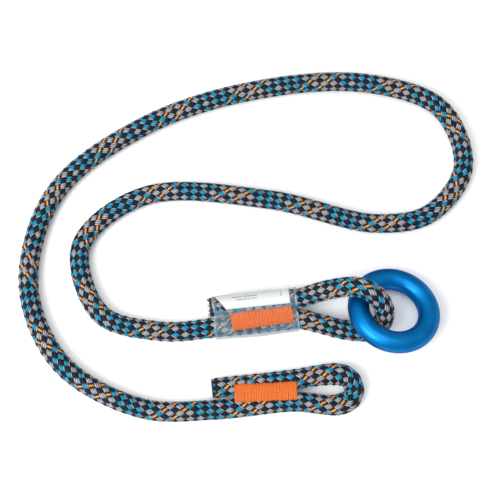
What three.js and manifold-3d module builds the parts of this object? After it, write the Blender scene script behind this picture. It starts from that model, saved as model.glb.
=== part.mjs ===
// A sewn eye-to-eye rope tether, laid out in an open S. One length of kernmantle rope is turned
// back on itself and stitched at each end. The ring eye carries a captive aluminium ring, and its
// stitching is covered by a clear shrink sleeve with a label under it. The plain eye is bare.
// Millimetres, +Z up. The origin is the middle of the laid-out part, on the surface it lies on.
import * as THREE from "three";
import { mergeVertices } from "three/addons/utils/BufferGeometryUtils.js";
import Module from "manifold-3d";

// Rope: a braided cover round a straight core
const ROPE_D = 11.4;
const CORE_D = 7.8;
const CORE_FIT = 0.3; // between the core and the inside of the cover
const ROPE_SIDES = 12;
const JOIN_GAP = 0.3; // where one stretch of cover meets the next

// Ring
const RING_BORE = 28;
const RING_SECTION = 12;
const RING_SIDES = 16;
const RING_STEPS = 56;
const RING_FIT = 0.915; // between the bar and the top of the bight that it hangs in
const BIGHT_POINT = 4; // the last route point before the top of the bight
const BIGHT_PAST = 3.94; // along the rope, from that point to the top of the bight
const BIGHT_TO_BAR = new THREE.Vector3(-0.1829, -0.3183, -0.9302); // from there to the bar's centre
const UPHILL_HEADING = 247; // degrees in plan: where the ring is propped up by the lower leg
const THREAD_ANGLE = 277; // degrees round the ring from its highest point to the bight

// Stitching: a flat block of thread on each face of the two legs
const STITCH_LENGTH = 34.4;
const STITCH_WIDTH = 10.4;
const STITCH_THICK = 0.9;
const STITCH_CHAMFER = 0.3;
const BED_GAP = 0.2; // between a stitch block and the cover that it is pulled into

// Ring eye: sleeve and label round the two legs, which lie LEG_PITCH apart
const LEG_PITCH = 12;
const SLEEVE_CENTRE = new THREE.Vector3(4, -41.2, 9.25);
const SLEEVE_HEADING = 6; // degrees in plan
const SLEEVE_ROLL = 24; // degrees: the leg that climbs over the ring is the higher one
const SLEEVE_LENGTH = 46.5;
const SLEEVE_WALL = 0.35;
const SLEEVE_FIT = 0.7; // between the rope and the inside of the sleeve, where the label lies
const LABEL_LENGTH = 40.9;
const LABEL_SHIFT = -0.85; // from the middle of the sleeve, away from the ring
const LABEL_THICK = 0.2;
const LABEL_FIT = 0.35; // between the rope and the label
const LABEL_FROM = -35; // degrees round the upper leg, from straight out to the side
const LABEL_TO = 97;
const RING_EYE_STITCH_SHIFT = 3.4; // from the middle of the sleeve towards the ring
const RING_EYE_STITCH_ASIDE = -2; // and from there towards the lower leg
const RING_EYE_STITCH_TURN = 2; // degrees, as it was sewn a little askew

// Plain eye
const PLAIN_STITCH_CENTRE = new THREE.Vector3(9.5, -85, 5.7);
const PLAIN_STITCH_HEADING = 2.5; // degrees in plan

// Rope route, from the cut end beside the ring eye to the cut end beside the plain eye
const ROUTE = [
  // upper leg in the sleeve, up over the ring's bar and down through its hole
  [-21.4, -38.3, 11.7], [22.3, -33.8, 11.7], [27.3, -33.3, 11.7], [45, -29.6, 19.5],
  [60, -29.4, 26.1], [68.3, -33.1, 25.4], [73.4, -38.3, 21.4], [75, -43.6, 16.3],
  // back under the bar as the lower leg
  [72.3, -48.8, 11], [65.6, -51.2, 7.3], [54.5, -50.2, 5.9], [28.4, -44.1, 6.8],
  [23.5, -44.6, 6.8], [-14.4, -48.6, 6.8], [-19.3, -49.1, 6.8],
  // the free run
  [-48, -51, 5.8], [-83, -41, 5.7], [-95, -2, 5.7], [-60, 27, 5.7], [12, 25, 5.7],
  [73, 11, 5.7], [104, 17, 5.7], [124, 45, 5.7], [112, 80, 5.7], [69, 95.5, 5.7],
  [3, 91, 5.7], [-60, 69.5, 5.7], [-111, 29, 5.7], [-124, -25, 5.7], [-104, -69, 5.7],
  [-59, -93.5, 5.7],
  // lower leg, bight and upper leg of the plain eye
  [-18.7, -94.4, 5.7], [25, -90, 5.7], [49.5, -91.9, 5.7], [55.8, -89.3, 5.7],
  [58.4, -83.1, 5.7], [55.8, -76.9, 5.7], [49.5, -74.3, 5.7], [25, -77.7, 5.7],
  [-20, -82.7, 5.7],
];
const RING_EYE_END = 14; // the route point where the ring eye's lower leg becomes the run
const PLAIN_EYE_START = 31; // and where the run becomes the plain eye's lower leg
const STEPS = { ringEye: 42, run: 56, plainEye: 36 };

const wasm = await Module();
wasm.setup();

const radians = THREE.MathUtils.degToRad;

function solidOf(geometry) {
  const bare = geometry.index ? geometry.toNonIndexed() : geometry.clone();
  bare.deleteAttribute("normal");
  bare.deleteAttribute("uv");
  const merged = mergeVertices(bare, 1e-4);
  return new wasm.Manifold(
    new wasm.Mesh({
      numProp: 3,
      vertProperties: merged.attributes.position.array,
      triVerts: new Uint32Array(merged.index.array),
    }),
  );
}

function geometryOf(solid) {
  const mesh = solid.getMesh();
  const geometry = new THREE.BufferGeometry();
  geometry.setAttribute("position", new THREE.BufferAttribute(mesh.vertProperties, 3));
  geometry.setIndex(new THREE.BufferAttribute(mesh.triVerts, 1));
  const faceted = geometry.toNonIndexed();
  faceted.computeVertexNormals();
  return faceted;
}

// ---- rope ----

const route = new THREE.CatmullRomCurve3(
  ROUTE.map((point) => new THREE.Vector3(...point)),
  false,
  "centripetal",
);
route.arcLengthDivisions = 4000;
const ROUTE_LENGTH = route.getLength();

// How far along the rope a route point is, in millimetres.
function distanceAt(index) {
  const lengths = route.getLengths();
  return lengths[Math.round((index / (ROUTE.length - 1)) * route.arcLengthDivisions)];
}

// A stretch of the rope whose stations are evenly spaced within each part of it. Each part is
// [from, to, steps] in millimetres along the rope, and starts where the last one ended.
class Stretch extends THREE.Curve {
  constructor(parts) {
    super();
    this.parts = parts;
    this.steps = parts.reduce((sum, part) => sum + part[2], 0);
  }

  getPoint(t, target = new THREE.Vector3()) {
    let station = t * this.steps;
    let part = this.parts[0];
    for (const next of this.parts.slice(1)) {
      if (station <= part[2]) break;
      station -= part[2];
      part = next;
    }
    const along = part[0] + ((part[1] - part[0]) * station) / part[2];
    return route.getPointAt(along / ROUTE_LENGTH, target);
  }

  getPointAt(u, target) {
    return this.getPoint(u, target);
  }

  getTangentAt(u, target) {
    return this.getTangent(u, target);
  }
}

function roundSection(diameter) {
  const section = new THREE.Shape();
  section.absarc(0, 0, diameter / 2, 0, 2 * Math.PI);
  return section;
}

function extrudeAlong(section, stretch) {
  return new THREE.ExtrudeGeometry(section, {
    extrudePath: stretch,
    steps: stretch.steps,
    curveSegments: ROPE_SIDES / 2,
    bevelEnabled: false,
  });
}

function coverGeometry(parts) {
  const section = roundSection(ROPE_D);
  section.holes.push(roundSection(CORE_D + 2 * CORE_FIT));
  return extrudeAlong(section, new Stretch(parts));
}

const neckA = distanceAt(RING_EYE_END);
const neckB = distanceAt(PLAIN_EYE_START);
const ringEyeParts = [[0, neckA, STEPS.ringEye]];
const runParts = [[neckA, neckB, STEPS.run]];
const plainEyeParts = [[neckB, ROUTE_LENGTH, STEPS.plainEye]];

function shortened([[from, to, steps]], startGap, endGap) {
  return [[from + startGap, to - endGap, steps]];
}

// ---- stitching ----

function stitchSection() {
  const half = STITCH_WIDTH / 2;
  const section = new THREE.Shape();
  section.moveTo(-half, 0);
  section.lineTo(half, 0);
  section.lineTo(half, STITCH_THICK - STITCH_CHAMFER);
  section.lineTo(half - STITCH_CHAMFER, STITCH_THICK);
  section.lineTo(STITCH_CHAMFER - half, STITCH_THICK);
  section.lineTo(-half, STITCH_THICK - STITCH_CHAMFER);
  section.closePath();
  return section;
}

// A prism along the local X axis, whose section lies in the local YZ plane.
function prismAlongX(section, length) {
  const geometry = new THREE.ExtrudeGeometry(section, {
    depth: length,
    curveSegments: 12,
    bevelEnabled: false,
  });
  geometry.translate(0, 0, -length / 2);
  geometry.rotateX(Math.PI / 2);
  geometry.rotateZ(Math.PI / 2);
  return geometry;
}

// The thread's outer face is level with the crests of the two legs.
function stitchGeometry(side) {
  const geometry = prismAlongX(stitchSection(), STITCH_LENGTH);
  geometry.translate(0, 0, ROPE_D / 2 - STITCH_THICK);
  if (side < 0) geometry.rotateX(Math.PI);
  return geometry;
}

function bedGeometry(side) {
  const depth = STITCH_THICK + 2 * BED_GAP;
  const geometry = new THREE.BoxGeometry(
    STITCH_LENGTH + 2 * BED_GAP,
    STITCH_WIDTH + 2 * BED_GAP,
    depth,
  );
  geometry.translate(0, 0, side * (ROPE_D / 2 - STITCH_THICK - BED_GAP + depth / 2));
  return geometry;
}

// ---- frames that the two eyes' fittings are built in ----

function placed(origin, heading, roll) {
  const group = new THREE.Group();
  group.position.copy(origin);
  group.rotation.set(radians(roll), 0, radians(heading), "ZYX");
  group.updateMatrixWorld(true);
  return group;
}

const ringEyeFittings = placed(SLEEVE_CENTRE, SLEEVE_HEADING, SLEEVE_ROLL);
const ringEyeStitches = new THREE.Group();
ringEyeStitches.position.set(RING_EYE_STITCH_SHIFT, RING_EYE_STITCH_ASIDE, 0);
ringEyeStitches.rotation.z = radians(RING_EYE_STITCH_TURN);
ringEyeFittings.add(ringEyeStitches);
ringEyeFittings.updateMatrixWorld(true);
const plainEyeStitches = placed(PLAIN_STITCH_CENTRE, PLAIN_STITCH_HEADING, 0);

function cutBeds(cover, stitches) {
  let solid = solidOf(cover);
  for (const side of [1, -1]) {
    const bed = bedGeometry(side).applyMatrix4(stitches.matrixWorld);
    solid = solid.subtract(solidOf(bed));
  }
  return geometryOf(solid);
}

// ---- sleeve and label ----

function stadium(radius, points) {
  const half = LEG_PITCH / 2;
  points.absarc(half, 0, radius, -Math.PI / 2, Math.PI / 2);
  points.absarc(-half, 0, radius, Math.PI / 2, (3 * Math.PI) / 2);
  points.closePath();
  return points;
}

function sleeveGeometry() {
  const inside = ROPE_D / 2 + SLEEVE_FIT;
  const section = stadium(inside + SLEEVE_WALL, new THREE.Shape());
  section.holes.push(stadium(inside, new THREE.Path()));
  return prismAlongX(section, SLEEVE_LENGTH);
}

function labelGeometry() {
  const inside = ROPE_D / 2 + LABEL_FIT;
  const section = new THREE.Shape();
  section.absarc(0, 0, inside + LABEL_THICK, radians(LABEL_FROM), radians(LABEL_TO));
  section.absarc(0, 0, inside, radians(LABEL_TO), radians(LABEL_FROM), true);
  section.closePath();
  return prismAlongX(section, LABEL_LENGTH).translate(LABEL_SHIFT, LEG_PITCH / 2, 0);
}

// ---- ring ----

const RING_RADIUS = (RING_BORE + RING_SECTION) / 2; // of the circle along the bar's centre
// The bar's centre inside the bight, whatever the rope's and the bar's thickness.
const threadPoint = route
  .getPointAt((distanceAt(BIGHT_POINT) + BIGHT_PAST) / ROUTE_LENGTH)
  .addScaledVector(
    BIGHT_TO_BAR.clone().normalize(),
    ROPE_D / 2 + RING_FIT + RING_SECTION / 2,
  );
const threadCos = Math.cos(radians(THREAD_ANGLE));
const threadSin = Math.sin(radians(THREAD_ANGLE));
// The ring's lowest point rests on the surface, which settles its tilt.
const tiltSin =
  (threadPoint.z - RING_SECTION / 2) / (RING_RADIUS * (1 + threadCos));
const tilt = Math.asin(tiltSin);
const uphill = new THREE.Vector3(
  Math.cos(tilt) * Math.cos(radians(UPHILL_HEADING)),
  Math.cos(tilt) * Math.sin(radians(UPHILL_HEADING)),
  tiltSin,
);
const ringAxis = new THREE.Vector3(
  -tiltSin * Math.cos(radians(UPHILL_HEADING)),
  -tiltSin * Math.sin(radians(UPHILL_HEADING)),
  Math.cos(tilt),
);
const across = new THREE.Vector3().crossVectors(ringAxis, uphill);
const ringCentre = threadPoint.clone()
  .addScaledVector(uphill, -RING_RADIUS * threadCos)
  .addScaledVector(across, -RING_RADIUS * threadSin);

function ringMatrix() {
  const matrix = new THREE.Matrix4().makeBasis(uphill, across, ringAxis);
  return matrix.setPosition(ringCentre);
}

// ---- assembly ----

const tether = new THREE.Group();

function add(name, geometry, parent, look) {
  const mesh = new THREE.Mesh(geometry, new THREE.MeshStandardMaterial(look));
  mesh.name = name;
  parent.add(mesh);
  return mesh;
}

const coverLook = { color: 0x34384a, roughness: 0.85, metalness: 0 };
const coreLook = { color: 0xe6e4dc, roughness: 0.9, metalness: 0 };
const threadLook = { color: 0xf47f2c, roughness: 0.6, metalness: 0 };
const sleeveLook = {
  color: 0xc9d6e0, roughness: 0.25, metalness: 0, transparent: true, opacity: 0.35,
};
const labelLook = { color: 0xf2f2f0, roughness: 0.7, metalness: 0 };
const ringLook = { color: 0x0a68b4, roughness: 0.35, metalness: 0.9 };

add(
  "ring_eye_cover",
  cutBeds(
    coverGeometry(shortened(ringEyeParts, 0, JOIN_GAP / 2)),
    ringEyeStitches,
  ),
  tether,
  coverLook,
);
add(
  "rope_run_cover",
  coverGeometry(shortened(runParts, JOIN_GAP / 2, JOIN_GAP / 2)),
  tether,
  coverLook,
);
add(
  "plain_eye_cover",
  cutBeds(
    coverGeometry(shortened(plainEyeParts, JOIN_GAP / 2, 0)),
    plainEyeStitches,
  ),
  tether,
  coverLook,
);
add(
  "rope_core",
  extrudeAlong(
    roundSection(CORE_D),
    new Stretch([...ringEyeParts, ...runParts, ...plainEyeParts]),
  ),
  tether,
  coreLook,
);

tether.add(ringEyeFittings, plainEyeStitches);
for (const [eye, stitches] of [["ring_eye", ringEyeStitches], ["plain_eye", plainEyeStitches]]) {
  add(eye + "_needle_thread", stitchGeometry(1), stitches, threadLook);
  add(eye + "_bobbin_thread", stitchGeometry(-1), stitches, threadLook);
}
add("clear_sleeve", sleeveGeometry(), ringEyeFittings, sleeveLook);
add("id_label", labelGeometry(), ringEyeFittings, labelLook);

const ring = add(
  "ring",
  new THREE.TorusGeometry(RING_RADIUS, RING_SECTION / 2, RING_SIDES, RING_STEPS),
  tether,
  ringLook,
);
ringMatrix().decompose(ring.position, ring.quaternion, ring.scale);

export default tether;
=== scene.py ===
import math

import bpy
import numpy as np
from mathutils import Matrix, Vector


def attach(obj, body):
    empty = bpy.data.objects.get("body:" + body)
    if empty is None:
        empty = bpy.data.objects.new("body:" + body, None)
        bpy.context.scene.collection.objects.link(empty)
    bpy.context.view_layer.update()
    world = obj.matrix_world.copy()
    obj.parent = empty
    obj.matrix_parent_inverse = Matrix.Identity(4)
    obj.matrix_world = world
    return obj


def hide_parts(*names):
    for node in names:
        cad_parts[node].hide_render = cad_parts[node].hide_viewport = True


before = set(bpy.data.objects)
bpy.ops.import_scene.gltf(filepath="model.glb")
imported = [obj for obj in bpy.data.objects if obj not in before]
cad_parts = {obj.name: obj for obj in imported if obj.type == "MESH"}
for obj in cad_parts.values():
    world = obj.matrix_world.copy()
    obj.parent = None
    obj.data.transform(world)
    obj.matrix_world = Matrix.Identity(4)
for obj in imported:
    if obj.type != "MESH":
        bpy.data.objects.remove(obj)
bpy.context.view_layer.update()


# ---- Rope core ----
# The load-bearing middle of the rope: seven bundles of straight white polyamide yarn, laid
# together with a long twist. The cover hides it from end to end.

MM = 0.001
ROPE_D = 11.4 * MM

# The rope's centreline, from the cut end beside the ring eye to the cut end beside the plain eye.
ROUTE = [
    # upper leg in the sleeve, up over the ring's bar and down through its hole
    (-0.0214, -0.0383, 0.0117), (0.0223, -0.0338, 0.0117), (0.0273, -0.0333, 0.0117),
    (0.0450, -0.0296, 0.0195), (0.0600, -0.0294, 0.0261), (0.0683, -0.0331, 0.0254),
    (0.0734, -0.0383, 0.0214), (0.0750, -0.0436, 0.0163),
    # back under the bar as the lower leg
    (0.0723, -0.0488, 0.0110), (0.0656, -0.0512, 0.0073), (0.0545, -0.0502, 0.0059),
    (0.0284, -0.0441, 0.0068), (0.0235, -0.0446, 0.0068), (-0.0144, -0.0486, 0.0068),
    (-0.0193, -0.0491, 0.0068),
    # the free run
    (-0.0480, -0.0510, 0.0058), (-0.0830, -0.0410, 0.0057), (-0.0950, -0.0020, 0.0057),
    (-0.0600, 0.0270, 0.0057), (0.0120, 0.0250, 0.0057), (0.0730, 0.0110, 0.0057),
    (0.1040, 0.0170, 0.0057), (0.1240, 0.0450, 0.0057), (0.1120, 0.0800, 0.0057),
    (0.0690, 0.0955, 0.0057), (0.0030, 0.0910, 0.0057), (-0.0600, 0.0695, 0.0057),
    (-0.1110, 0.0290, 0.0057), (-0.1240, -0.0250, 0.0057), (-0.1040, -0.0690, 0.0057),
    (-0.0590, -0.0935, 0.0057),
    # lower leg, bight and upper leg of the plain eye
    (-0.0187, -0.0944, 0.0057), (0.0250, -0.0900, 0.0057), (0.0495, -0.0919, 0.0057),
    (0.0558, -0.0893, 0.0057), (0.0584, -0.0831, 0.0057), (0.0558, -0.0769, 0.0057),
    (0.0495, -0.0743, 0.0057), (0.0250, -0.0777, 0.0057), (-0.0200, -0.0827, 0.0057),
]


def centripetal(points, steps):
    """A centripetal Catmull-Rom curve through the points."""
    p = np.array(points)
    p = np.vstack([2 * p[0] - p[1], p, 2 * p[-1] - p[-2]])
    t = np.arange(steps)[:, None] / steps
    line = []
    for a, b, c, d in zip(p, p[1:], p[2:], p[3:]):
        ab, bc, cd = (np.sqrt(np.linalg.norm(v)) for v in (b - a, c - b, d - c))
        m1 = ((b - a) / ab - (c - a) / (ab + bc) + (c - b) / bc) * bc
        m2 = ((c - b) / bc - (d - b) / (bc + cd) + (d - c) / cd) * bc
        square = 3 * (c - b) - 2 * m1 - m2
        cube = 2 * (b - c) + m1 + m2
        line.append(b + m1 * t + square * t ** 2 + cube * t ** 3)
    return np.vstack(line + [p[-2][None]])


PITCH = 43.5 * MM  # one full turn of a cover strand round the rope
STATIONS_PER_PITCH = 64

fine = centripetal(ROUTE, 400)
fine_along = np.r_[0, np.cumsum(np.linalg.norm(np.diff(fine, axis=0), axis=1))]
ROPE_LENGTH = float(fine_along[-1])
along = np.linspace(0, ROPE_LENGTH, round(ROPE_LENGTH / PITCH * STATIONS_PER_PITCH) + 1)
centre = np.stack([np.interp(along, fine_along, fine[:, k]) for k in range(3)], axis=1)

# Each station has a left and an up direction that turn with the rope and never twist round it.
tangent = np.gradient(centre, along, axis=0)
tangent /= np.linalg.norm(tangent, axis=1)[:, None]
up = np.zeros_like(centre)
carried = np.array([0.0, 0.0, 1.0])
for i, direction in enumerate(tangent):
    carried = carried - direction * (carried @ direction)
    carried /= np.linalg.norm(carried)
    up[i] = carried
left = np.cross(up, tangent)


def round_rope(angle, radius):
    """Points round the rope at every station, from (stations, points) angles and radii."""
    out = np.cos(angle)[..., None] * left[:, None] + np.sin(angle)[..., None] * up[:, None]
    return centre[:, None] + radius[..., None] * out


def linear(hex_colour, alpha=1.0):
    """An sRGB hex colour as linear RGBA."""
    parts = [int(hex_colour[k:k + 2], 16) / 255 for k in (1, 3, 5)]
    light = [c / 12.92 if c <= 0.04045 else ((c + 0.055) / 1.055) ** 2.4 for c in parts]
    return (*light, alpha)


def mesh_piece(name, tubes, material, uvs=None, openness=None):
    """One object from closed tubes, each (rings, points, 3), with a face over each end.
    uvs gives each tube's (rings, points, 2) coordinates along and across it, and openness how
    open to light each point is, which the yarn material paints as shade."""
    vertices, corners, sizes, coordinates = [], [], [], []
    first = 0
    for k, tube in enumerate(tubes):
        rings, points = tube.shape[:2]
        index = np.arange(rings * points).reshape(rings, points) + first
        a, b = index[:-1], index[1:]
        quads = np.stack([a, np.roll(a, -1, 1), np.roll(b, -1, 1), b], axis=-1).reshape(-1)
        caps = np.r_[index[0][::-1], index[-1]]
        vertices.append(tube.reshape(-1, 3))
        corners.append(np.r_[quads, caps])
        sizes.append(np.r_[np.full((rings - 1) * points, 4), [points, points]])
        if uvs is not None:
            coordinates.append(uvs[k].reshape(-1, 2))
        first += rings * points
    vertices, corners, sizes = np.vstack(vertices), np.concatenate(corners), np.concatenate(sizes)
    mesh = bpy.data.meshes.new(name)
    mesh.vertices.add(len(vertices))
    mesh.vertices.foreach_set("co", vertices.astype(np.float32).ravel())
    mesh.loops.add(len(corners))
    mesh.loops.foreach_set("vertex_index", corners.astype(np.int32))
    mesh.polygons.add(len(sizes))
    mesh.polygons.foreach_set("loop_start", np.r_[0, np.cumsum(sizes)[:-1]].astype(np.int32))
    mesh.polygons.foreach_set("loop_total", sizes.astype(np.int32))
    if uvs is not None:
        layer = mesh.uv_layers.new(name="yarn")
        layer.data.foreach_set("uv", np.vstack(coordinates)[corners].astype(np.float32).ravel())
    if openness is not None:
        shade = mesh.attributes.new("openness", "FLOAT", "POINT")
        shade.data.foreach_set("value", np.concatenate([o.ravel() for o in openness]).astype(np.float32))
    mesh.update(calc_edges=True)
    mesh.polygons.foreach_set("use_smooth", np.ones(len(mesh.polygons), bool))
    mesh.materials.append(material)
    piece = bpy.data.objects.new(name, mesh)
    bpy.context.scene.collection.objects.link(piece)
    return piece


def new_material(name):
    """A material with its Principled shader, and the two as (material, shader)."""
    material = bpy.data.materials.new(name)
    material.use_nodes = True
    return material, material.node_tree.nodes["Principled BSDF"]


def add_node(material, kind, settings=None, links=None, values=None):
    """Adds a node, sets its properties and input values, and links its inputs."""
    node = material.node_tree.nodes.new(kind)
    for key, value in (settings or {}).items():
        setattr(node, key, value)
    for key, value in (values or {}).items():
        node.inputs[key].default_value = value
    for key, source in (links or {}).items():
        material.node_tree.links.new(source, node.inputs[key])
    return node


def link(material, source, target):
    material.node_tree.links.new(source, target)


def polyamide_yarn(name, shade, lit, fibre_width=0.28 * MM, fibre_length=3.5 * MM):
    """Dyed multifilament polyamide: matt, with a faint sheen along its fibres. Its colour carries
    painted shade from the openness attribute, darkest where a strand dives under. Real filaments
    are about 0.03 mm, so the streaks are drawn ten times as wide, which is what shows."""
    material, shader = new_material(name)
    lines = add_node(material, "ShaderNodeUVMap", {"uv_map": "yarn"})
    stretched = add_node(
        material, "ShaderNodeMapping",
        links={"Vector": lines.outputs["UV"]},
        values={"Scale": (1 / fibre_length, 1 / fibre_width, 1.0)},
    )
    fibres = add_node(
        material, "ShaderNodeTexNoise",
        links={"Vector": stretched.outputs["Vector"]},
        values={"Scale": 1.0, "Detail": 3.0, "Roughness": 0.6},
    )
    tone = add_node(material, "ShaderNodeValToRGB", links={"Fac": fibres.outputs["Fac"]})
    tone.color_ramp.elements[0].position = 0.32
    tone.color_ramp.elements[0].color = linear(shade)
    tone.color_ramp.elements[1].position = 0.66
    tone.color_ramp.elements[1].color = linear(lit)
    # Painted shade: the colour is multiplied down to 0.04 where the openness attribute is low.
    depth = add_node(material, "ShaderNodeAttribute", {"attribute_name": "openness"})
    painted_shade = add_node(
        material, "ShaderNodeMapRange",
        links={"Value": depth.outputs["Fac"]},
        values={"From Min": 0.08, "From Max": 0.85, "To Min": 0.04, "To Max": 1.0},
    )
    tone_with_painted_shade = add_node(
        material, "ShaderNodeMix", {"data_type": "RGBA", "blend_type": "MULTIPLY"},
        links={"A": tone.outputs["Color"], "B": painted_shade.outputs["Result"]},
        values={"Factor": 1.0},
    )
    relief = add_node(
        material, "ShaderNodeBump",
        links={"Height": fibres.outputs["Fac"]},
        values={"Strength": 0.9, "Distance": 0.2 * MM},
    )
    link(material, tone_with_painted_shade.outputs["Result"], shader.inputs["Base Color"])
    link(material, relief.outputs["Normal"], shader.inputs["Normal"])
    shader.inputs["Roughness"].default_value = 0.55
    shader.inputs["IOR"].default_value = 1.53
    shader.inputs["Specular IOR Level"].default_value = 0.15
    shader.inputs["Sheen Weight"].default_value = 0.04
    shader.inputs["Sheen Roughness"].default_value = 0.4
    return material


CORE_D = 7.8 * MM
CORE_BUNDLES = 7
CORE_TWIST = 0.12  # turns of a bundle in one pitch of the cover
CORE_SIDES = 42
CORE_STEP = 4  # the core is smooth, so it uses every fourth station

core_angle = np.arange(CORE_SIDES) / CORE_SIDES * 2 * math.pi
core_lobes = np.abs(np.cos(CORE_BUNDLES / 2 * core_angle[None]))
core_radius = np.zeros((len(along), CORE_SIDES)) + CORE_D / 2 * (0.9 + 0.1 * core_lobes)
core_angles = core_angle[None] + 2 * math.pi * CORE_TWIST * along[:, None] / PITCH
core_uv = np.stack(np.broadcast_arrays(along[:, None], core_angle[None] * CORE_D / 2), axis=-1)
core = mesh_piece(
    "core_yarns",
    [round_rope(core_angles, core_radius)[::CORE_STEP]],
    polyamide_yarn("undyed_polyamide_core_yarn", "#cfccc2", "#f2f0e8"),
    [core_uv[::CORE_STEP]],
    [np.ones(core_uv[::CORE_STEP].shape[:2])],
)
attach(core, "tether")
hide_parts("rope_core")


# ---- Braided cover ----
# Sixteen strands of dyed polyamide, braided over one and under one round the core: eight go
# round one way in grey and turquoise, eight the other way in charcoal and orange. The sewing
# presses it flat where a block of thread bears on it.

STRANDS = 8  # each way
BRAID_RADIUS = 4.65 * MM  # to the middle of a strand where two cross
CROSSING_RISE = 0.53 * MM  # over and under that
STRAND_HALF = 0.48 * MM
YARN_GROOVE = 0.3 * MM
EDGE_DROP = 0.34 * MM  # of a strand's rounded edges below its middle
STRAND_COVER = 1.02  # share of its lane that a strand fills
FLATTEN = 0.35  # how flat a strand lies over a crossing: lower is flatter
PLUMPNESS = 0.05 * MM  # how unevenly the strands stand out
END_WASTE = 0.06  # share by which the cut ends are drawn in
END_WASTE_LENGTH = 3.5 * MM
STITCH_LENGTH = 34.4 * MM
STITCH_WIDTH = 10.4 * MM
PRESSED_TO = 4.5 * MM  # half thickness of the rope under the thread
PRESSED_EDGE = 1.1 * MM
PRESS_CLEAR = 0.3 * MM  # past the rope's surface, where the pressing ends
SEWN_REACH = (30 * MM, 13 * MM)  # along and across, past which a point is on another leg
PLAIN_EYE_FROM = 1080 * MM  # along the rope
OPEN_FROM = 0.15 * MM  # below the crossings' middle, where a strand starts to be painted dark with shade
OPEN_OVER = 0.95 * MM  # from there to where it has no painted shade
# share by which painted shade darkens the grooves between yarns and a strand's underside
GROOVE_SHADE = 0.75


def turned(heading, roll=0.0):
    """A frame's axes as the columns of a matrix, along, across and up, from degrees."""
    h, r = math.radians(heading), math.radians(roll)
    turn = np.array([[math.cos(h), -math.sin(h), 0], [math.sin(h), math.cos(h), 0], [0, 0, 1]])
    tip = np.array([[1, 0, 0], [0, math.cos(r), -math.sin(r)], [0, math.sin(r), math.cos(r)]])
    return turn @ tip


# The frame of the ring eye's two legs, and of each eye's sewing. The ring eye is sewn nearer
# its lower leg, and both are a little askew.
LEGS_MIDDLE = np.array([4.0, -41.2, 9.25]) * MM
LEGS_AXES = turned(6.0, 24.0)
EYES = {
    "ring_eye": (LEGS_MIDDLE + LEGS_AXES @ [3.4 * MM, -2.0 * MM, 0.0], LEGS_AXES @ turned(2.0)),
    "plain_eye": (np.array([9.5, -85.0, 5.7]) * MM, turned(2.5)),
}


def pressed_by_stitches(points):
    """Pushes the cover in under the four blocks of thread."""
    for origin, axes in EYES.values():
        local = (points - origin) @ axes
        past_end = (np.abs(local[..., 0]) - STITCH_LENGTH / 2) / PRESSED_EDGE
        past_side = (np.abs(local[..., 1]) - STITCH_WIDTH / 2) / PRESSED_EDGE
        out = np.clip(np.maximum(past_end, past_side) + 0.3, 0, 1)
        limit = PRESSED_TO + (ROPE_D / 2 + PRESS_CLEAR - PRESSED_TO) * out ** 2 * (3 - 2 * out)
        near = (np.abs(local[..., 0]) < SEWN_REACH[0]) & (np.abs(local[..., 1]) < SEWN_REACH[1])
        height = np.clip(local[..., 2], -limit, limit)
        local[..., 2] = np.where(near & (out < 1), height, local[..., 2])
        points = local @ axes.T + origin
    return points


def bunched_in_bight(points):
    """Moves the cover inside the plain eye in towards the eye's middle line, where it bunches up."""
    middle_line = -83.2 * MM
    eye_tip = 58.5 * MM
    for side, bunch_from, bunch in ((1, 28 * MM, 1.3 * MM), (-1, 42 * MM, 1.5 * MM)):
        here = (along > PLAIN_EYE_FROM) & (side * (centre[:, 1] - middle_line) > 0)
        inwards = np.clip(side * (centre[:, None, 1] - points[..., 1]) / (ROPE_D / 2), 0, 1)
        share = np.clip((points[..., 0] - bunch_from) / (eye_tip - bunch_from), 0, 1)
        bulge = bunch * inwards ** 2 * np.sin(math.pi * share ** 2)
        points[..., 1] -= side * bulge * here[:, None]
    return points


# The edges of the three yarns that lie side by side in a strand, across it from -1 to 1.
YARN_EDGES = {
    "grey": (-1, -0.33, 0.33, 1), "charcoal": (-1, -0.33, 0.33, 1),
    "turquoise": (-1, -0.5, 0.25, 1), "orange": (-1, -0.45, 0.45, 1),
}
YARNS = 3


def strand_section(dye, first_yarn, last_yarn):
    """(across, height, groove) points of some of a strand's yarns. across runs from -1 to 1, and
    groove is 1 in the dips between yarns and on the strand's underside, where the yarn is painted with
    shade."""
    edges = YARN_EDGES[dye][first_yarn:last_yarn + 1]
    top = np.interp(np.arange(2 * len(edges) - 1) / 2, np.arange(len(edges)), edges)
    groove = (np.arange(len(top)) % 2 == 0).astype(float)
    height = STRAND_HALF - EDGE_DROP * top ** 2 - YARN_GROOVE * groove
    under = np.linspace(top[-1], top[0], 3 if len(edges) > 2 else 2)
    under = under * 0.97 + np.mean(under) * 0.03
    height = np.r_[height, np.full(len(under), -STRAND_HALF * 0.9)]
    return np.r_[top, under], height, np.r_[groove, np.ones(len(under))]


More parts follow.
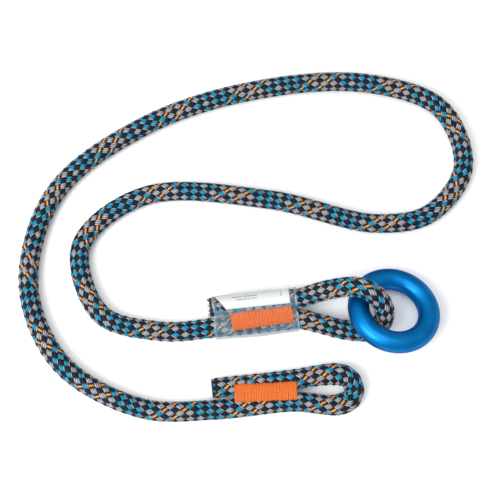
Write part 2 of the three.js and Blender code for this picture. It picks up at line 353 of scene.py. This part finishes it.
def strand_tube(hand, number, across, height, groove):
    """A strand, or some of its yarns: hand is 1 for the light family and -1 for the dark one."""
    lane = math.pi / STRANDS * STRAND_COVER
    middle = 2 * math.pi * (number / STRANDS + hand * along / PITCH)
    angle = middle[:, None] + lane * across[None]
    # How far round the crossing family's lanes this point is: whole numbers are crossings.
    crossing = (STRANDS / (2 * math.pi)) * (angle + hand * 2 * math.pi * along[:, None] / PITCH)
    wave = np.cos(math.pi * (crossing + number))
    over = hand * wave * math.sqrt(1 + FLATTEN) / np.sqrt(wave ** 2 + FLATTEN)
    place = np.round(crossing)
    # a fixed number from -1 to 1 for each crossing, the same in every run
    uneven = np.sin(12.9898 * place + 78.233 * (number + 10 * hand)) * 43758.5453
    uneven = (uneven - np.floor(uneven)) * 2 - 1
    swell = PLUMPNESS * uneven * np.cos(math.pi * (crossing - place)) ** 2
    radius = BRAID_RADIUS + CROSSING_RISE * over + height[None] + swell * (height[None] > 0)
    from_end = np.minimum(along, ROPE_LENGTH - along)[:, None]
    radius = radius * (1 - END_WASTE * np.clip(1 - from_end / END_WASTE_LENGTH, 0, 1) ** 2)
    yarn = np.stack(
        np.broadcast_arrays(along[:, None], across[None] * lane * BRAID_RADIUS + 0.01 * number),
        axis=-1,
    )
    # How open a point lies, which sets the yarn's painted shade: 0 where the strand passes under,
    # 1 on top of it, and lower in the grooves between yarns and on the underside.
    open_to_light = np.clip((radius - (BRAID_RADIUS - OPEN_FROM)) / OPEN_OVER, 0, 1)
    open_to_light = open_to_light * (1 - GROOVE_SHADE * groove[None])
    surface = bunched_in_bight(round_rope(angle, radius))
    return pressed_by_stitches(surface), yarn, open_to_light


LIGHT_FAMILY = ["turquoise", "grey", "turquoise", "turquoise", "turquoise", "grey", "grey", "grey"]
DARK_FAMILY = ["orange", "charcoal", "orange", "charcoal"] + ["charcoal"] * 4
# Which yarns of a strand have its bright dye. The others are grey or charcoal, as the family is.
BRIGHT_YARNS = {"turquoise": (1, 3), "orange": (1, 2)}

groups = {
    "charcoal_strands_1": [], "charcoal_strands_2": [], "grey_strands_1": [],
    "grey_strands_2": [], "turquoise_strands": [], "orange_strands": [],
}
for hand, family, plain in ((1, LIGHT_FAMILY, "grey"), (-1, DARK_FAMILY, "charcoal")):
    for number, dye in enumerate(family):
        own = f"{plain}_strands_{1 if number < STRANDS / 2 else 2}"
        first, last = BRIGHT_YARNS.get(dye, (0, 0))
        if last:
            groups[dye + "_strands"].append(strand_tube(hand, number, *strand_section(dye, first, last)))
        for start, end in ((0, first), (last, YARNS)):
            if end > start:
                groups[own].append(strand_tube(hand, number, *strand_section(dye, start, end)))

dyes = {
    "charcoal": polyamide_yarn("charcoal_polyamide_yarn", "#0b0f17", "#1f2635"),
    "grey": polyamide_yarn("grey_polyamide_yarn", "#7c7e85", "#cdd1d8"),
    "turquoise": polyamide_yarn("turquoise_polyamide_yarn", "#0578a4", "#2cb5e0"),
    "orange": polyamide_yarn("orange_polyamide_yarn", "#cf7226", "#fbb25c"),
}
cover = {}
for name, strands in groups.items():
    cover[name] = mesh_piece(
        name,
        [tube for tube, _, _ in strands],
        dyes[name.split("_")[0]],
        [yarn for _, yarn, _ in strands],
        [openness for _, _, openness in strands],
    )
    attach(cover[name], "tether")
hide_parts("ring_eye_cover", "rope_run_cover", "plain_eye_cover")


# ---- Fused ends ----
# The two ends of the rope, cut with a hot knife. The melted yarns set as a dark, uneven cap a
# millimetre thick, and the end beside the ring eye is left a little frayed.

FUSED_SIDES = 64
FIBRE_SIDES = 5
FIBRE_STEPS = 6
FIBRES = 36


def fused_polyamide():
    """Polyamide that has melted and set again: nearly black, and glossier where it ran."""
    material, shader = new_material("fused_polyamide")
    place = add_node(material, "ShaderNodeTexCoord")
    lumps = add_node(
        material, "ShaderNodeTexNoise",
        links={"Vector": place.outputs["Object"]},
        values={"Scale": 1 / (1.2 * MM), "Detail": 4.0},
    )
    tone = add_node(material, "ShaderNodeValToRGB", links={"Fac": lumps.outputs["Fac"]})
    tone.color_ramp.elements[0].position = 0.4
    tone.color_ramp.elements[0].color = linear("#101117")
    tone.color_ramp.elements[1].position = 0.7
    tone.color_ramp.elements[1].color = linear("#34373f")
    gloss = add_node(
        material, "ShaderNodeMapRange",
        links={"Value": lumps.outputs["Fac"]},
        values={"To Min": 0.3, "To Max": 0.65},
    )
    relief = add_node(
        material, "ShaderNodeBump",
        links={"Height": lumps.outputs["Fac"]},
        values={"Strength": 0.6, "Distance": 0.3 * MM},
    )
    link(material, tone.outputs["Color"], shader.inputs["Base Color"])
    link(material, gloss.outputs["Result"], shader.inputs["Roughness"])
    link(material, relief.outputs["Normal"], shader.inputs["Normal"])
    shader.inputs["IOR"].default_value = 1.53
    return material


def fused_cap(station, outward, wrap, ragged, seed):
    """A cap over a cut end: wrap is how far it reaches back over the strands."""
    draw = np.random.default_rng(seed)
    angle = np.arange(FUSED_SIDES) / FUSED_SIDES * 2 * math.pi
    wave = sum(
        draw.uniform(0.4, 1) * np.cos(k * angle + draw.uniform(0, 6.3)) / k for k in (2, 3, 5, 8, 13)
    )
    # (how far along the rope, how far out) in millimetres, from the middle of the back round to
    # the face
    profile = [
        (-0.8, 0.6), (-0.8, 3.0), (-wrap, 4.95), (-wrap, 5.3), (-0.5 * wrap, 5.42), (-0.1, 5.35),
        (0.1, 5.0), (0.2, 4.2), (0.24, 2.8), (0.2, 1.4), (0.18, 0.5),
    ]
    rings = []
    for k, (depth, out) in enumerate(profile):
        back = ragged * wave * (0.6 if k in (2, 3) else 0.12)
        radius = (out * (1 + 0.02 * wave * (out > 4))) * MM
        ring = (
            centre[station]
            + outward * ((depth + back) * MM)[:, None]
            + radius[:, None] * np.cos(angle)[:, None] * left[station]
            + radius[:, None] * np.sin(angle)[:, None] * up[station]
        )
        rings.append(ring)
    tube = np.array(rings)
    return tube if outward @ tangent[station] > 0 else tube[:, ::-1]


def frayed_fibres(station, outward, count, seed):
    """Short loose bundles of filament that stand out of a cut end."""
    draw = np.random.default_rng(seed)
    sides = np.arange(FIBRE_SIDES) / FIBRE_SIDES * 2 * math.pi
    fibres = []
    for _ in range(count):
        angle = draw.uniform(0, 2 * math.pi)
        out = math.cos(angle) * left[station] + math.sin(angle) * up[station]
        side = np.cross(outward, out)
        root = centre[station] + out * draw.uniform(3.6, 5.2) * MM - outward * 0.8 * MM
        length = draw.uniform(1.0, 2.6) * MM
        lean = draw.uniform(0.1, 0.6)
        drift = draw.uniform(-0.4, 0.4)
        thick = draw.uniform(0.18, 0.42) * MM
        tube = []
        for t in np.linspace(0, 1, FIBRE_STEPS):
            middle = root + length * (t * outward + lean * t * t * out + drift * t * t * side)
            size = thick * (1 - 0.75 * t)
            tube.append(middle + size * (np.cos(sides)[:, None] * out + np.sin(sides)[:, None] * side))
        fibres.append(np.array(tube)[:, ::-1])
    return fibres


fused = fused_polyamide()
ring_eye_tail = mesh_piece(
    "ring_eye_fused_end",
    [fused_cap(0, -tangent[0], 1.4, 0.8, 3)] + frayed_fibres(0, -tangent[0], FIBRES, 11),
    fused,
)
plain_eye_tail = mesh_piece(
    "plain_eye_fused_end", [fused_cap(len(along) - 1, tangent[-1], 0.7, 0.25, 5)], fused
)
for piece in (ring_eye_tail, plain_eye_tail):
    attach(piece, "tether")


# ---- Stitching ----
# Orange bonded polyester thread, sewn through both legs by machine as a block of close
# satin strokes. The needle thread shows on the upper face and the bobbin thread on the lower.

THREAD_D = 1.12 * MM
STROKES = 37
STROKE_SIDES = 8
STROKE_STEPS = 22
NEEDLE_CROWN = 5.66 * MM  # to the top of the thread over the middle of the block
BOBBIN_CROWN = 5.55 * MM
CROWN_FALL = 0.62 * MM  # from the middle of the block to its sides
LEG_VALLEY = 0.14 * MM  # where a stroke sinks in between the two legs
STROKE_DIVE = 1.5 * MM  # how far a stroke's ends go down into the rope


def bonded_polyester():
    """Twisted filament thread with a bonded finish: soft gloss on fine diagonal plies."""
    material, shader = new_material("bonded_polyester_thread")
    lines = add_node(material, "ShaderNodeUVMap", {"uv_map": "yarn"})
    turned = add_node(
        material, "ShaderNodeMapping",
        links={"Vector": lines.outputs["UV"]},
        values={"Scale": (1 / (0.9 * MM), 1 / (0.3 * MM), 1.0), "Rotation": (0, 0, 0.5)},
    )
    plies = add_node(
        material, "ShaderNodeTexNoise",
        links={"Vector": turned.outputs["Vector"]},
        values={"Scale": 1.0, "Detail": 2.0},
    )
    tone = add_node(material, "ShaderNodeValToRGB", links={"Fac": plies.outputs["Fac"]})
    tone.color_ramp.elements[0].position = 0.3
    tone.color_ramp.elements[0].color = linear("#bf4c0c")
    tone.color_ramp.elements[1].position = 0.7
    tone.color_ramp.elements[1].color = linear("#dd7324")
    relief = add_node(
        material, "ShaderNodeBump",
        links={"Height": plies.outputs["Fac"]},
        values={"Strength": 0.4, "Distance": 0.1 * MM},
    )
    link(material, tone.outputs["Color"], shader.inputs["Base Color"])
    link(material, relief.outputs["Normal"], shader.inputs["Normal"])
    shader.inputs["Roughness"].default_value = 0.5
    shader.inputs["IOR"].default_value = 1.57
    shader.inputs["Specular IOR Level"].default_value = 0.3
    shader.inputs["Sheen Weight"].default_value = 0.05
    return material


def stitch_block(eye, side, crown, seed):
    """The strokes on one face of an eye: each crosses both legs and dives into them at its ends."""
    draw = np.random.default_rng(seed)
    origin, axes = EYES[eye]
    spread = np.linspace(-1, 1, STROKE_STEPS)
    sides = np.arange(STROKE_SIDES) / STROKE_SIDES * 2 * math.pi
    tubes, coordinates = [], []
    gap = (STITCH_LENGTH - THREAD_D) / (STROKES - 1)
    for k in range(STROKES):
        start = -(STITCH_LENGTH - THREAD_D) / 2 + k * gap + draw.uniform(-0.06, 0.06) * MM
        slant = draw.uniform(-0.12, 0.12) * MM + (0.07 if k % 2 else -0.07) * MM
        reach = STITCH_WIDTH / 2 - 0.15 * MM + draw.uniform(-0.32, 0.2) * MM
        lift = draw.uniform(-0.07, 0.0) * MM
        y = spread * reach
        share = np.abs(spread)
        z = crown - THREAD_D / 2 + lift - CROWN_FALL * share ** 2.4
        z -= LEG_VALLEY * np.exp(-(y / (0.5 * MM)) ** 2)
        z -= STROKE_DIVE * np.clip((share - 0.9) / 0.1, 0, 1) ** 1.6
        middle = np.stack([start + slant * spread, y, z * side], axis=1)
        run = np.gradient(middle, axis=0)
        run /= np.linalg.norm(run, axis=1)[:, None]
        beside = np.array([1.0, 0, 0]) - run * run[:, :1]
        beside /= np.linalg.norm(beside, axis=1)[:, None]
        over = np.cross(run, beside)
        swell = THREAD_D / 2 * (1.06 + 0.05 * np.sin(spread * 7 + k))
        local = (
            middle[:, None]
            + (swell[:, None] * np.cos(sides))[..., None] * beside[:, None]
            + (0.94 * swell[:, None] * np.sin(sides))[..., None] * over[:, None]
        )
        tubes.append(local @ axes.T + origin)
        coordinates.append(np.stack(
            np.broadcast_arrays((y + k * 0.013)[:, None], sides[None] * THREAD_D / 2), axis=-1))
    return tubes, coordinates


thread = bonded_polyester()
stitching = []
for eye in EYES:
    for face, side, crown in (("needle", 1, NEEDLE_CROWN), ("bobbin", -1, BOBBIN_CROWN)):
        tubes, coordinates = stitch_block(eye, side, crown, seed=len(stitching) + 21)
        block = mesh_piece(f"{eye}_{face}_strokes", tubes, thread, coordinates)
        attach(block, "tether")
        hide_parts(f"{eye}_{face}_thread")
        stitching.append(block)


# ---- Label ----
# White printed film wrapped round the upper leg before the sleeve is shrunk over it. Its left
# end is cut at a slant. The print is replaced by plain faint bars.

LEG_OFFSET = 6.0 * MM  # from the middle of the sewing to each leg's axis
LABEL_RADIUS = 5.95 * MM
LABEL_THICK = 0.12 * MM
LABEL_LENGTH = 40.9 * MM
LABEL_SHIFT = -0.85 * MM  # from the middle of the legs, away from the ring
LABEL_FROM, LABEL_TO = math.radians(-35), math.radians(97)
LABEL_SLANT = 5.4 * MM  # by which the left end is shorter at the edge nearest the sewing
SLANT_FROM, SLANT_OVER = math.radians(20), math.radians(77)  # round the leg
LABEL_RIPPLE = 0.05 * MM
LABEL_STEPS, LABEL_TURNS = 60, 26


def printed_film():
    """Matt white polyester film with two faint grey lines of bars, none of them lettering."""
    material, shader = new_material("printed_white_polyester_film")
    lines = add_node(material, "ShaderNodeUVMap", {"uv_map": "yarn"})
    split = add_node(material, "ShaderNodeSeparateXYZ", links={"Vector": lines.outputs["UV"]})
    bars = None
    # (start, end) along the label and (start, end) up it, in millimetres
    for x0, x1, y0, y1 in (
        (-12.5, -6.8, 3.1, 3.8), (-6.0, 1.8, 3.1, 3.8), (-10.0, -2.4, 4.9, 5.5), (-1.6, 1.6, 4.9, 5.5),
        (14.6, 15.2, 2.6, 5.4),
    ):
        inside = None
        for output, low, high in (("X", x0, x1), ("Y", y0, y1)):
            compare = add_node(
                material, "ShaderNodeMath", {"operation": "COMPARE"},
                links={0: split.outputs[output]},
                values={1: (low + high) / 2 * MM, 2: (high - low) / 2 * MM},
            )
            if inside is None:
                inside = compare.outputs[0]
            else:
                both = add_node(
                    material, "ShaderNodeMath", {"operation": "MULTIPLY"},
                    links={0: inside, 1: compare.outputs[0]},
                )
                inside = both.outputs[0]
        if bars is None:
            bars = inside
        else:
            either = add_node(
                material, "ShaderNodeMath", {"operation": "MAXIMUM"}, links={0: bars, 1: inside}
            )
            bars = either.outputs[0]
    ink = add_node(
        material, "ShaderNodeMix", {"data_type": "RGBA"},
        links={"Factor": bars},
        values={"A": linear("#d3d5d3"), "B": linear("#8d9294")},
    )
    place = add_node(material, "ShaderNodeTexCoord")
    creases = add_node(
        material, "ShaderNodeTexNoise",
        links={"Vector": place.outputs["Object"]},
        values={"Scale": 1 / (4.0 * MM), "Detail": 2.0},
    )
    relief = add_node(
        material, "ShaderNodeBump",
        links={"Height": creases.outputs["Fac"]},
        values={"Strength": 0.35, "Distance": 0.4 * MM},
    )
    link(material, ink.outputs["Result"], shader.inputs["Base Color"])
    link(material, relief.outputs["Normal"], shader.inputs["Normal"])
    shader.inputs["Roughness"].default_value = 0.55
    shader.inputs["IOR"].default_value = 1.57
    return material


label_angle = np.linspace(LABEL_FROM, LABEL_TO, LABEL_TURNS)
label_rows, label_uv = [], []
for t in np.linspace(0, 1, LABEL_STEPS):
    slant = LABEL_SLANT * np.clip((label_angle - SLANT_FROM) / SLANT_OVER, 0, 1)
    x = LABEL_SHIFT - LABEL_LENGTH / 2 + slant + t * (LABEL_LENGTH - slant)
    ripple = LABEL_RIPPLE * np.sin(x / (2.9 * MM) + 2 * label_angle)
    ripple = ripple * np.sin(1.7 * label_angle + x / (7 * MM))
    row, row_uv = [], []
    for radius, order in ((LABEL_RADIUS + LABEL_THICK, 1), (LABEL_RADIUS, -1)):
        r = radius + ripple
        side = np.stack([x, LEG_OFFSET + r * np.cos(label_angle), r * np.sin(label_angle)], axis=1)
        row.append(side[::order])
        row_uv.append(np.stack([x, label_angle * LABEL_RADIUS], axis=1)[::order])
    label_rows.append(np.vstack(row) @ LEGS_AXES.T + LEGS_MIDDLE)
    label_uv.append(np.vstack(row_uv))
label = mesh_piece("printed_label", [np.array(label_rows)], printed_film(), [np.array(label_uv)])
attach(label, "tether")
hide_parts("id_label")


# ---- Clear sleeve ----
# A length of clear heat-shrink film over the ring eye's sewing and its label. It has drawn in
# round the two legs, with fine wrinkles, and its flattened edge stands out as a narrow fin.

SLEEVE_LENGTH = 46.5 * MM
SLEEVE_WALL = 0.16 * MM
SLEEVE_OVER_LABEL = 6.42 * MM
SLEEVE_OVER_ROPE = 6.02 * MM
SLEEVE_FIN = 2.1 * MM
FIN_AT, FIN_SPREAD = 186, 5.5  # degrees round the lower leg
SLEEVE_END = 5 * MM  # the length at each end where the film puckers
SLEEVE_STATIONS = 96
TOP_DIP, BOTTOM_DIP = 0.22 * MM, 0.3 * MM  # where the film is drawn in between the legs


def shrink_film(name, haze_share):
    """Clear polyolefin, thin, smooth and glossy, and milkier the more it has shrunk. haze_share is
    how much one face of it hides."""
    material, shader = new_material(name)
    place = add_node(material, "ShaderNodeTexCoord")
    haze = add_node(
        material, "ShaderNodeTexNoise",
        links={"Vector": place.outputs["Object"]},
        values={"Scale": 1 / (5.0 * MM), "Detail": 3.0},
    )
    tone = add_node(material, "ShaderNodeValToRGB", links={"Fac": haze.outputs["Fac"]})
    tone.color_ramp.elements[0].position = 0.35
    tone.color_ramp.elements[0].color = linear("#7f9fb4")
    tone.color_ramp.elements[1].position = 0.7
    tone.color_ramp.elements[1].color = linear("#c3d6e2")
    relief = add_node(
        material, "ShaderNodeBump",
        links={"Height": haze.outputs["Fac"]},
        values={"Strength": 0.3, "Distance": 0.5 * MM},
    )
    link(material, tone.outputs["Color"], shader.inputs["Base Color"])
    link(material, relief.outputs["Normal"], shader.inputs["Normal"])
    shader.inputs["Roughness"].default_value = 0.14
    shader.inputs["IOR"].default_value = 1.5
    shader.inputs["Alpha"].default_value = haze_share
    return material


def sleeve_outline(x, inset):
    """The film's closed outline at x along the legs, in from its outer face by inset."""
    end = np.clip((np.abs(x) - (SLEEVE_LENGTH / 2 - SLEEVE_END)) / SLEEVE_END, 0, 1)
    outline = []
    # the upper leg's side, from underneath round to the top
    for a in np.radians(np.linspace(-90, 90, 40)):
        on_label = np.clip((a - LABEL_FROM + 0.5) / 0.5, 0, 1)
        radius = SLEEVE_OVER_ROPE + (SLEEVE_OVER_LABEL - SLEEVE_OVER_ROPE) * on_label
        outline.append((LEG_OFFSET + radius * math.cos(a), radius * math.sin(a)))
    # across the top, drawn in a little between the legs
    for t in np.linspace(0, 1, 22)[1:-1]:
        y = LEG_OFFSET * (1 - 2 * t)
        height = SLEEVE_OVER_LABEL + (SLEEVE_OVER_ROPE - SLEEVE_OVER_LABEL) * t
        outline.append((y, height - TOP_DIP * math.sin(math.pi * t)))
    # the lower leg's side, with the fin half way down it
    for a in np.linspace(90, 270, 55):
        fin = SLEEVE_FIN * math.exp(-((a - FIN_AT) / FIN_SPREAD) ** 2)
        radius = SLEEVE_OVER_ROPE + fin * (0.86 + 0.14 * math.cos(x / (6.5 * MM)))
        outline.append(
            (-LEG_OFFSET + radius * math.cos(math.radians(a)), radius * math.sin(math.radians(a)))
        )
    # and back across the bottom
    for t in np.linspace(0, 1, 22)[1:-1]:
        y = -LEG_OFFSET * (1 - 2 * t)
        outline.append((y, -SLEEVE_OVER_ROPE + BOTTOM_DIP * math.sin(math.pi * t)))
    outline = np.array(outline)
    turn = np.arctan2(outline[:, 1], outline[:, 0])
    wrinkle = 0.07 * np.sin(9 * turn + x / (1.9 * MM)) * np.sin(x / (3.3 * MM) + 2 * turn)
    wrinkle += 0.16 * end * np.sin(13 * turn + 1.7)
    out = np.gradient(outline, axis=0)[:, ::-1] * np.array([1, -1])
    out /= np.linalg.norm(out, axis=1)[:, None]
    outline = outline + out * ((wrinkle * MM) - inset)[:, None]
    return outline, turn


def sleeve_tube():
    """A wall with an outer and an inner face, as one closed tube of rings along the legs and back."""
    stations = np.linspace(-1, 1, SLEEVE_STATIONS)
    faces = []
    for inset, order in ((0.0, 1), (SLEEVE_WALL, -1)):
        for share in stations[::order]:
            x = share * SLEEVE_LENGTH / 2
            outline, turn = sleeve_outline(x, inset)
            wave = 0.35 * np.sin(3 * turn + 1.0) + 0.25 * np.sin(7 * turn + (2.0 if share > 0 else 4.0))
            reach = x + np.sign(share) * abs(share) ** 8 * wave * MM
            faces.append(np.column_stack([reach, outline]))
    rings = np.array(faces + [faces[0]])
    return rings @ LEGS_AXES.T + LEGS_MIDDLE


def ring_of_rings(name, tube, material):
    """One object from rings whose last joins the first, so that it needs no end faces."""
    rings, points = tube.shape[0] - 1, tube.shape[1]
    index = np.arange(rings * points).reshape(rings, points)
    a, b = index, np.roll(index, -1, 0)
    quads = np.stack([a, np.roll(a, -1, 1), np.roll(b, -1, 1), b], axis=-1).reshape(-1, 4)
    mesh = bpy.data.meshes.new(name)
    mesh.from_pydata(tube[:-1].reshape(-1, 3).tolist(), [], quads.tolist())
    mesh.polygons.foreach_set("use_smooth", np.ones(len(mesh.polygons), bool))
    mesh.materials.append(material)
    piece = bpy.data.objects.new(name, mesh)
    bpy.context.scene.collection.objects.link(piece)
    return piece


sleeve = ring_of_rings(
    "shrunk_sleeve", sleeve_tube(), shrink_film("milky_polyolefin_shrink_film", 0.14)
)
# Where the film bears on the thread and the label it is stretched clear, and its cut ends and
# the fold along its fin are the milkiest, which also paints in the bright edge highlight of film seen
# edge-on.
sleeve.data.materials.append(shrink_film("clear_polyolefin_shrink_film", 0.02))
sleeve.data.materials.append(shrink_film("folded_polyolefin_film_painted_edge_highlight", 0.42))
stitches_middle, stitches_axes = EYES["ring_eye"]
for face in sleeve.data.polygons:
    point = np.array(face.center)
    x, y, _ = (point - LEGS_MIDDLE) @ LEGS_AXES
    x_stitched, y_stitched, _ = (point - stitches_middle) @ stitches_axes
    over_thread = abs(x_stitched) < STITCH_LENGTH / 2 and abs(y_stitched) < STITCH_WIDTH / 2
    over_label = y > 4.8 * MM and abs(x - LABEL_SHIFT) < LABEL_LENGTH / 2
    at_cut = abs(x) > SLEEVE_LENGTH / 2 - 0.7 * MM
    at_fold = y < -(LEG_OFFSET + SLEEVE_OVER_ROPE + 0.8 * SLEEVE_FIN)
    if at_cut or at_fold:
        face.material_index = 2
    elif over_thread or over_label:
        face.material_index = 1
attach(sleeve, "tether")
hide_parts("clear_sleeve")


# ---- Ring ----
# A captive ring turned from aluminium bar and anodised blue, with a satin surface, faint turning
# lines and slightly uneven dye.

RING_RADIUS = 20.0 * MM  # to the middle of the bar
BAR_RADIUS = 6.0 * MM
RING_STEPS = 160
BAR_STEPS = 64


def blue_anodised_aluminium():
    """Dyed anodic film on turned aluminium: a coloured metal, satin, with fine turning lines."""
    material, shader = new_material("blue_anodised_aluminium")
    lines = add_node(material, "ShaderNodeUVMap", {"uv_map": "yarn"})
    round_ring = add_node(
        material, "ShaderNodeMapping",
        links={"Vector": lines.outputs["UV"]},
        values={"Scale": (1 / (14.0 * MM), 1 / (0.35 * MM), 1.0)},
    )
    turning = add_node(
        material, "ShaderNodeTexNoise",
        links={"Vector": round_ring.outputs["Vector"]},
        values={"Scale": 1.0, "Detail": 3.0},
    )
    place = add_node(material, "ShaderNodeTexCoord")
    wear = add_node(
        material, "ShaderNodeTexNoise",
        links={"Vector": place.outputs["Object"]},
        values={"Scale": 1 / (9.0 * MM), "Detail": 5.0},
    )
    tone = add_node(material, "ShaderNodeValToRGB", links={"Fac": wear.outputs["Fac"]})
    tone.color_ramp.elements[0].position = 0.35
    tone.color_ramp.elements[0].color = linear("#0074bb")
    tone.color_ramp.elements[1].position = 0.75
    tone.color_ramp.elements[1].color = linear("#0284ca")
    satin = add_node(
        material, "ShaderNodeMapRange",
        links={"Value": turning.outputs["Fac"]},
        values={"From Min": 0.3, "From Max": 0.7, "To Min": 0.4, "To Max": 0.5},
    )
    relief = add_node(
        material, "ShaderNodeBump",
        links={"Height": turning.outputs["Fac"]},
        values={"Strength": 0.12, "Distance": 0.05 * MM},
    )
    link(material, tone.outputs["Color"], shader.inputs["Base Color"])
    link(material, satin.outputs["Result"], shader.inputs["Roughness"])
    link(material, relief.outputs["Normal"], shader.inputs["Normal"])
    shader.inputs["Metallic"].default_value = 0.96
    # The near-black edge tint paints the rim dark where it is seen at a slant: a painted dark reflection
    # of the surroundings.
    shader.inputs["Specular Tint"].default_value = linear("#020a18")
    shader.inputs["Coat Weight"].default_value = 0.15
    shader.inputs["Coat Roughness"].default_value = 0.22
    return material


# The ring's middle and axis come from its CAD node: the middle of its box, and the direction in
# which its vertices spread least.
ring_points = np.array([v.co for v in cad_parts["ring"].data.vertices])
ring_box = np.array([ring_points.min(0), ring_points.max(0)])
ring_middle = ring_box.mean(0)
_, _, spread = np.linalg.svd(ring_points - ring_points.mean(0), full_matrices=False)
ring_axis = spread[2] * np.sign(spread[2][2])
ring_x = np.cross([0.0, 1.0, 0.0], ring_axis)
ring_x /= np.linalg.norm(ring_x)
ring_y = np.cross(ring_axis, ring_x)
bar_angle = np.arange(BAR_STEPS) / BAR_STEPS * 2 * math.pi
ring_rings, ring_uv = [], []
for k in range(RING_STEPS + 1):
    a = 2 * math.pi * k / RING_STEPS
    out = math.cos(a) * ring_x + math.sin(a) * ring_y
    reach = RING_RADIUS + BAR_RADIUS * np.cos(bar_angle)
    rise = BAR_RADIUS * np.sin(bar_angle)
    ring_rings.append(ring_middle + reach[:, None] * out + rise[:, None] * ring_axis)
    ring_uv.append(np.stack([np.full(BAR_STEPS, a * RING_RADIUS), bar_angle * BAR_RADIUS], axis=1))
ring = ring_of_rings("anodised_ring", np.array(ring_rings)[:, ::-1], blue_anodised_aluminium())
layer = ring.data.uv_layers.new(name="yarn")
flat_uv = np.array(ring_uv)[:-1, ::-1].reshape(-1, 2)
corner_vertices = np.array([corner.vertex_index for corner in ring.data.loops])
layer.data.foreach_set("uv", flat_uv[corner_vertices].astype(np.float32).ravel())
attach(ring, "ring")
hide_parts("ring")


# ---- Studio ----
# A white table, a soft light to the left of the camera, a larger and weaker one overhead, and a
# sky that is brighter overhead than at the horizon.

TABLE_HALF = 14.0
SKY_STRENGTH = 0.6
CAMERA_ELEVATION = math.radians(78)
CAMERA_PLACE = (0.00091, -0.13218, 0.60645)
CAMERA_LENS = 77.9  # mm
CAMERA_SENSOR = 36.0  # mm


def white_table():
    """Matt white card."""
    material, shader = new_material("white_card")
    shader.inputs["Base Color"].default_value = linear("#ffffff")
    shader.inputs["Roughness"].default_value = 0.9
    shader.inputs["Specular IOR Level"].default_value = 0.1
    return material


floor_mesh = bpy.data.meshes.new("table")
corners = [(-1, -1), (1, -1), (1, 1), (-1, 1)]
floor_mesh.from_pydata([(x * TABLE_HALF, y * TABLE_HALF, 0) for x, y in corners], [], [(0, 1, 2, 3)])
floor_mesh.materials.append(white_table())
floor = bpy.data.objects.new("table", floor_mesh)
bpy.context.scene.collection.objects.link(floor)


def soft_light(name, place, target, size, watts):
    """A round area lamp at place, turned to face target."""
    data = bpy.data.lights.new(name, "AREA")
    data.shape = "DISK"
    data.size = size
    data.energy = watts
    lamp = bpy.data.objects.new(name, data)
    lamp.location = place
    lamp.rotation_euler = (Vector(target) - Vector(place)).to_track_quat("-Z", "Y").to_euler()
    bpy.context.scene.collection.objects.link(lamp)


soft_light("key", (-0.62, -0.45, 0.85), (0, 0, 0), 0.75, 11.0)
soft_light("overhead", (-0.1, 0.1, 1.5), (0, 0, 0), 1.2, 9.0)

world = bpy.data.worlds.new("studio")
world.use_nodes = True
bpy.context.scene.world = world
sky = add_node(world, "ShaderNodeTexCoord")
height = add_node(world, "ShaderNodeSeparateXYZ", links={"Vector": sky.outputs["Generated"]})
dome = add_node(world, "ShaderNodeValToRGB", links={"Fac": height.outputs["Z"]})
dome.color_ramp.elements[0].position = 0.0
dome.color_ramp.elements[0].color = linear("#c8c8c8")
dome.color_ramp.elements[1].position = 0.6
dome.color_ramp.elements[1].color = linear("#ffffff")
background = world.node_tree.nodes["Background"]
link(world, dome.outputs["Color"], background.inputs["Color"])
background.inputs["Strength"].default_value = SKY_STRENGTH

camera_data = bpy.data.cameras.new("camera")
camera_data.lens = CAMERA_LENS
camera_data.sensor_width = CAMERA_SENSOR
camera = bpy.data.objects.new("camera", camera_data)
camera.location = CAMERA_PLACE
camera.rotation_euler = (math.pi / 2 - CAMERA_ELEVATION, 0, 0)
bpy.context.scene.collection.objects.link(camera)
bpy.context.scene.camera = camera
bpy.context.scene.view_settings.view_transform = "Standard"
